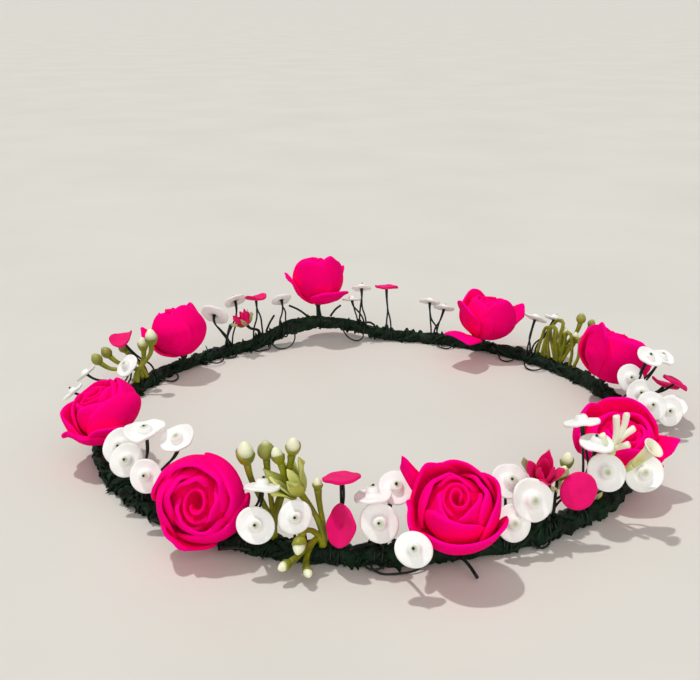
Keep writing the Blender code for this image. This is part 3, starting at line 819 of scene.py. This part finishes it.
def white_disc():
    """Foam disc with a domed hub: the middle of the blank is drawn up."""
    disc_blank(0.0007, 0.0011, 0.0009)
    for rise, step in ((0.0003, 0.0004), (0.0010, 0.0003), (0.0005, 0.0005), (0.0002, 0.0004)):
        bpy.ops.mesh.extrude_region_move(TRANSFORM_OT_translate={"value": (0.0, 0.0, rise)})
        bpy.ops.mesh.inset(thickness=step)
    piece = done("white_disc")
    apply_modifier(piece, "SOLIDIFY", thickness=DISC_THICKNESS, offset=-1.0)
    edit()
    bpy.ops.mesh.normals_make_consistent(inside=False)
    piece = done("white_disc", WHITE_FOAM)
    subdivide(piece)
    return paint(piece, lambda place: heart_tint(place, 0.0013) if place.z > 0 else 0.0)


def pink_disc():
    disc_blank(0.0006, 0.0012, 0.0012, 0.0008)
    piece = done("pink_disc")
    apply_modifier(piece, "SOLIDIFY", thickness=DISC_THICKNESS * 1.3, offset=0.0)
    piece = done("pink_disc", PINK_FOAM)
    subdivide(piece)
    return paint(piece, lambda place: heart_tint(place, 0.0007))


def shaped_head(pattern, bloom, seed):
    """A copy of a flower head, dished, folded and rippled, in its place on the crown."""
    place = beside_band(bloom.azimuth, bloom.reach, bloom.rise)
    spin = random.Random(seed).random() * 360.0
    piece = copy_of(pattern, "head", Matrix.Scale(bloom.size, 4))
    for vertex in piece.data.vertices:
        across = math.hypot(vertex.co.x, vertex.co.y) / DISC_RADIUS
        angle = math.atan2(vertex.co.y, vertex.co.x)
        ripple = 0.00024 * across ** 3 * math.sin(3.0 * angle + seed)
        ripple += 0.0001 * across ** 3 * math.sin(7 * angle)
        dish = DISC_RADIUS * (bloom.curl * across ** 2 + bloom.fold * (vertex.co.x / DISC_RADIUS) ** 2)
        grow = 1.0 + 0.05 * math.sin(2.0 * angle + seed) * across
        vertex.co = Vector((vertex.co.x * grow, vertex.co.y * grow, vertex.co.z + ripple + dish))
    piece.data.transform(facing(place, heading(bloom.azimuth + bloom.turn, bloom.lift), spin))
    return piece


def spray_wires(root, blooms, seed, proud):
    """A doubled wire from the band to each head, one cut end of it showing, and its turns round the band."""
    chance = random.Random(seed)
    paths = []
    for bloom in blooms:
        axis = heading(bloom.azimuth + bloom.turn, bloom.lift)
        back = beside_band(bloom.azimuth, bloom.reach, bloom.rise)
        cross = axis.cross(Vector((0.0, 0.0, 1.0))).normalized()
        for side in (-1, 1):
            along = root + side * chance.uniform(0.2, 1.3)
            foot = round_band(along, 90.0 + chance.uniform(-50, 50), girth(root) * 0.9)
            apart = cross * side * WIRE_APART
            tip = back + axis * (chance.uniform(0.6, 1.0) * proud if side > 0 else 0.0004) + apart
            pull = (back - foot).length * 0.35
            points = bend(foot, Vector((0.0, 0.0, pull)), back + apart, axis * pull, 4)
            middle = points[2] + Vector([chance.uniform(-0.0006, 0.0006) for _ in range(3)])
            paths.append([foot * 0.999, *points[1:2], middle, *points[3:], tip])
    stand = girth(root) + 0.0003
    paths.append([round_band(root + 0.25 * (step - 10) / 2, 36.0 * step, stand) for step in range(21)])
    return paths


def make_sprays():
    white, pink = white_disc(), pink_disc()
    families = (
        ("white", WHITE_SPRAYS, white, "disc_spray", "white_foam", 0.0026),
        ("pink", PINK_SPRAYS, pink, "pink_spray", "pink_foam", 0.0004),
    )
    for colour, sprays, pattern, node, slot, proud in families:
        for index, (root, blooms) in enumerate(sprays, start=1):
            heads = [shaped_head(pattern, bloom, 7 * index + number) for number, bloom in enumerate(blooms)]
            heads = join(heads, f"{colour}_discs_{index}")
            settle(heads, "band", slot, f"{node}_{index}")
            paths = spray_wires(root, blooms, index, proud)
            wires = tubes(f"{colour}_wires_{index}", paths, WIRE_RADIUS, WIRE, 6)
            settle(wires, "band", "wire")
    bpy.data.objects.remove(white)
    bpy.data.objects.remove(pink)


# ---------------------------------------------------------------- plastic sprigs

def round_blank(radius, stretch):
    deselect()
    bpy.ops.mesh.primitive_uv_sphere_add(segments=14, ring_count=10, radius=radius,
                                         location=(0.0, 0.0, radius * stretch))
    piece = bpy.context.object
    piece.scale = (1.0, 1.0, stretch)
    return piece


def berry():
    """A round bead with a small nipple on top and a neck that runs into the stem."""
    piece = round_blank(BERRY_RADIUS, 1.05)
    done("berry")
    top = 2.1 * BERRY_RADIUS
    for vertex in piece.data.vertices:
        height = vertex.co.z / top
        if height > 0.97:
            vertex.co.z += 0.00045
        if height < 0.2:
            vertex.co.x *= 0.75
            vertex.co.y *= 0.75
            vertex.co.z -= 0.0006 * (1.0 - height / 0.2)
    piece = done("berry", OLIVE)
    return paint(piece, lambda place: 0.55 if place.z > top else 0.12 * place.z / top)


def sleeve(radius, tall, lobes, flare, tip=0.32):
    """A cup of pointed sepals: a ring drawn up twice, with every other rim point pulled out to a tip."""
    deselect()
    bpy.ops.mesh.primitive_circle_add(vertices=2 * lobes, radius=radius * 0.45)
    edit()
    for rise, grow in ((0.22, 1.7), (0.40, 1.3)):
        bpy.ops.mesh.extrude_region_move(TRANSFORM_OT_translate={"value": (0.0, 0.0, tall * rise)})
        bpy.ops.transform.resize(value=(grow, grow, 1.0), center_override=(0.0, 0.0, 0.0))
    bpy.ops.mesh.extrude_region_move(TRANSFORM_OT_translate={"value": (0.0, 0.0, tall * 0.12)})
    bpy.ops.object.mode_set(mode="OBJECT")
    piece = bpy.context.object
    rim = max(vertex.co.z for vertex in piece.data.vertices)
    for vertex in piece.data.vertices:
        if vertex.co.z > rim - 0.00001:
            index = round(math.atan2(vertex.co.y, vertex.co.x) / math.pi * lobes)
            if index % 2:
                vertex.co = Vector((vertex.co.x * flare, vertex.co.y * flare, vertex.co.z + tall * tip))
            else:
                vertex.co.z -= tall * 0.06
    apply_modifier(piece, "SOLIDIFY", thickness=0.00035, offset=0.0)
    subdivide(piece)
    return done("sleeve", OLIVE)


def bud():
    """A pale closed bud standing in an olive cup of sepals."""
    body = round_blank(BERRY_RADIUS * 0.92, 1.5)
    done("bud")
    top = 2.76 * BERRY_RADIUS
    for vertex in body.data.vertices:
        point = max(0.0, vertex.co.z / top - 0.6) / 0.4
        vertex.co.x *= 1.0 - 0.25 * point
        vertex.co.y *= 1.0 - 0.25 * point
    body = done("bud", OLIVE)
    paint(body, lambda place: min(1.0, max(0.0, (place.z / top - 0.3) * 2.6)))
    cup = sleeve(BERRY_RADIUS * 1.05, 0.0031, 5, 1.02)
    paint(cup, lambda place: 60.0 * max(0.0, place.z - 0.0022))
    return join([body, cup], "bud")


def small_flower(name, petals, size, material, pale):
    """A little flower of pointed petal sheets."""
    flower = join([petal_sheet(petal, 5.0 * number) for number, petal in enumerate(petals)], name)
    subdivide(flower)
    flower = done(name, material)
    flower.data.transform(Matrix.Scale(size, 4))
    for datum in flower.data.attributes["level"].data:
        datum.value *= pale
    return flower


def tulip():
    """A half-open flower: pointed petals, green at the base and pale at the tips, on an olive calyx."""
    petals = [Petal(72.0 * index, 30.0, 0.0072, 0.0150 + 0.002 * (index % 2), 0.0045, 0.0, 0.0028)
              for index in range(5)]
    inner = [Petal(120.0 * index + 30.0, 44.0, 0.0050, 0.0165, 0.001, 0.0, 0.002) for index in range(3)]
    outside = small_flower("tulip", petals, 0.47, LIME, 0.5)
    return join([outside, small_flower("inner", inner, 0.47, LIME, 1.0)], "tulip")


def star():
    """Blunt cream prongs that branch off one stem."""
    prongs = (
        ((0, 0, 0), (0.0002, 0, 0.004), (-0.0006, 0.0002, 0.0088)),
        ((0, 0, 0.0024), (0.0016, 0, 0.0052), (0.0022, 0.0004, 0.0088)),
        ((0, 0, 0.0012), (0.0026, 0.0006, 0.0030), (0.0052, 0.0006, 0.0046)),
        ((0, 0, 0.0004), (-0.0018, 0.0004, 0.0022), (-0.0030, 0.0006, 0.0045)),
        ((0, 0, 0.0008), (0.0006, -0.0016, 0.0022), (0.0014, -0.0030, 0.0034)),
    )
    paths = [([Vector(point) for point in prong], [0.85, 0.9, 1.05]) for prong in prongs]
    piece = tubes("star", paths, 0.00075, CREAM, 10)
    subdivide(piece)
    return paint(piece, lambda place: min(1.0, 0.35 + place.z / 0.007))


def trumpet():
    """A long pale tube that opens into a white lip of rounded lobes."""
    deselect()
    bpy.ops.mesh.primitive_circle_add(vertices=10, radius=0.0008)
    edit()
    for rise, grow in ((0.0025, 1.15), (0.0025, 1.3), (0.0012, 1.5), (0.0006, 1.45)):
        bpy.ops.mesh.extrude_region_move(TRANSFORM_OT_translate={"value": (0.0, 0.0, rise)})
        bpy.ops.transform.resize(value=(grow, grow, 1.0), center_override=(0.0, 0.0, 0.0))
    bpy.ops.object.mode_set(mode="OBJECT")
    piece = bpy.context.object
    rim = max(vertex.co.z for vertex in piece.data.vertices)
    for vertex in piece.data.vertices:
        if vertex.co.z > rim - 0.00001:
            lobe = 0.5 + 0.5 * math.cos(5.0 * math.atan2(vertex.co.y, vertex.co.x))
            grow = 0.8 + 0.4 * lobe
            vertex.co = Vector((vertex.co.x * grow, vertex.co.y * grow, rim - 0.0004 * lobe))
    apply_modifier(piece, "SOLIDIFY", thickness=0.0004, offset=0.0)
    subdivide(piece)
    piece = done("trumpet", CREAM)
    return paint(piece, lambda place: min(1.0, max(0.0, (place.z - 0.003) / 0.0034)))


def stem_to(root, head, seed):
    """A stem from the band to a head, thicker at the root and again just under the head."""
    chance = random.Random(seed)
    axis = heading(head.azimuth + head.turn, head.lift)
    back = beside_band(head.azimuth, head.reach, head.rise)
    foot = round_band(root + chance.uniform(-0.6, 0.6), 90.0 + chance.uniform(-25, 25), INSIDE_TAPE)
    pull = (back - foot).length
    points = bend(foot, Vector((0.0, 0.0, pull * 0.4)), back + axis * 0.0002, axis * pull * 0.4, 5)
    return points, [1.25, 1.05, 0.95, 0.9, 1.0, 1.3]


def arch(root, top, far, reach, rise):
    return [
        round_band(root, 90, INSIDE_TAPE), beside_band(root + (top - root) * 0.6, reach * 0.6, rise * 0.65),
        beside_band(top, reach, rise), beside_band(far, reach * 0.7, rise * 0.55),
        round_band(far, 90, INSIDE_TAPE),
    ]


def pink_bud():
    """A small closed flower: pointed pink petals in a star of olive sepals."""
    petals = [Petal(90.0 * index, 44.0, 0.0080, 0.0160, 0.0030, 0.0, 0.0020) for index in range(4)]
    petals += [Petal(120.0 * index + 20.0, 66.0, 0.0055, 0.0175, -0.001, 0.0, 0.0015) for index in range(3)]
    sepals = [Petal(72.0 * index, 17.0, 0.0092, 0.0110, 0.0050, 0.0, 0.0030) for index in range(5)]
    flower = small_flower("pink_bud", petals, 0.34, PINK_FOAM, 0.3)
    return join([flower, small_flower("sepals", sepals, 0.36, OLIVE, 0.3)], "pink_bud")


def seated_head(pattern, head, number):
    """A copy of a head's pattern in its place on the crown."""
    place = beside_band(head.azimuth, head.reach, head.rise)
    spot = facing(place, heading(head.azimuth + head.turn, head.lift), 73.0 * number)
    return copy_of(pattern, "head", spot @ Matrix.Scale(head.size, 4))


def make_pink_buds():
    pattern = pink_bud()
    for number, (root, head) in enumerate(PINK_BUDS, start=1):
        flower = seated_head(pattern, head, number)
        stem = tubes("stem", [stem_to(root, head, 90 + number)], PINK_STEM_RADIUS, WIRE, 8)
        settle(join([flower, stem], f"pink_bud_{number}"), "band", "pink_foam")
    bpy.data.objects.remove(pattern)


def make_sprigs():
    patterns = {"berry": berry(), "bud": bud(), "tulip": tulip(), "star": star(), "trumpet": trumpet()}
    for index, (root, heads) in enumerate(SPRIGS, start=1):
        name = f"sprig_{index}"
        stems = [stem_to(root, head, 11 * index + number) for number, head in enumerate(heads)]
        if index == 4:
            stems += [(arch(*points), [1.0, 0.9, 0.85, 0.8, 0.9]) for points in ARCHES]
        parts = [tubes(name, stems, SPRIG_STEM_RADIUS, CREAM if index == 3 else OLIVE, 8)]
        parts += [seated_head(patterns[head.kind], head, number) for number, head in enumerate(heads)]
        settle(join(parts, name), "band", "sprig", f"bud_sprig_{index}")
    for pattern in patterns.values():
        bpy.data.objects.remove(pattern)


# ---------------------------------------------------------------- loose wire

def make_loose_wire():
    """Loops of binding wire that hang off the band, and cut ends that stick out of it."""
    loops = []
    for azimuth, span, reach, rise in LOOPS:
        side = 0.0 if reach > 0 else 180.0
        loops.append([
            round_band(azimuth - span / 2, side, INSIDE_TAPE),
            beside_band(azimuth - span / 2.4, reach * 0.8, rise * 0.8),
            beside_band(azimuth, reach, rise),
            beside_band(azimuth + span / 2.4, reach * 0.75, rise * 0.6),
            round_band(azimuth + span / 2, side, INSIDE_TAPE)])
    for points in loops:
        for point in points:
            point.z = max(point.z, 0.0005)
    settle(tubes("wire_loops", loops, LOOP_RADIUS, WIRE, 8), "band", "wire")
    ends = []
    for foot, azimuth, reach, rise in ENDS:
        start = round_band(foot, 90.0 if rise > 0.001 else 0.0, INSIDE_TAPE)
        end = beside_band(azimuth, reach, rise)
        middle = (start + end) / 2 + Vector((0.0, 0.0, 0.0006))
        ends.append([start, middle, end])
    settle(tubes("wire_ends", ends, END_RADIUS, WIRE, 8), "band", "wire", "wire_tail")


# ---------------------------------------------------------------- stage

# Each lamp is a distant one: azimuth, lift, angle across and strength.
LAMPS = (("key", 152.0, 74.0, 2.2, 1.6), ("fill", -85.0, 22.0, 80.0, 1.36))


def make_stage():
    deselect()
    bpy.ops.mesh.primitive_plane_add(size=900.0, location=(0.0, 300.0, 0.0))
    floor = done("floor")
    material, nodes, links, shader = new_finish("pale_floor", Roughness=0.6, Specular_IOR_Level=0.2)
    tone = colour_mix(nodes, links, grain(nodes, links, 9.0, 3.0),
                      (0.665, 0.642, 0.578), (0.705, 0.682, 0.618))
    links.new(tone, shader.inputs["Base Color"])
    bump(nodes, links, shader, grain(nodes, links, 120.0, 4.0), 0.05, 0.001)
    floor.data.materials.append(material)


def make_lights():
    world = bpy.data.worlds.new("studio")
    bpy.context.scene.world = world
    world.use_nodes = True
    sky = world.node_tree.nodes["Background"]
    sky.inputs["Color"].default_value = (0.98, 0.985, 1.0, 1.0)
    sky.inputs["Strength"].default_value = 0.44
    for name, azimuth, lift, spread, power in LAMPS:
        place = heading(azimuth, lift) * 1.4
        aim = place.to_track_quat("Z", "Y").to_euler()
        bpy.ops.object.light_add(type="SUN", location=place, rotation=aim)
        lamp = bpy.context.object
        lamp.name = name
        lamp.data.energy = power
        lamp.data.angle = math.radians(spread)


def make_camera():
    bpy.ops.object.camera_add(location=(-0.0148, -0.316, 0.1381),
                              rotation=(math.radians(90.0 - 18.8), 0.0, math.radians(-1.5)))
    camera = bpy.context.object
    camera.data.sensor_width = 36.0
    camera.data.lens = 51.43
    camera.data.clip_start = 0.01
    camera.data.clip_end = 1000.0
    bpy.context.scene.camera = camera
    bpy.context.scene.view_settings.view_transform = "Standard"


def main():
    make_camera()
    make_lights()
    make_stage()
    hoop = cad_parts["hoop_wire"].data.materials
    hoop.clear()
    hoop.append(WIRE)
    seams = [rose.azimuth for rose in ROSES] + [ROSES[0].azimuth + 360.0]
    for index in range(1, len(seams)):
        wrap_band(index, seams[index - 1], seams[index])
    for index, (rose, outer) in enumerate(zip(ROSES, OUTER_PETALS), start=1):
        make_rose(index, rose, list(outer))
    make_sprays()
    make_sprigs()
    make_pink_buds()
    make_loose_wire()


main()
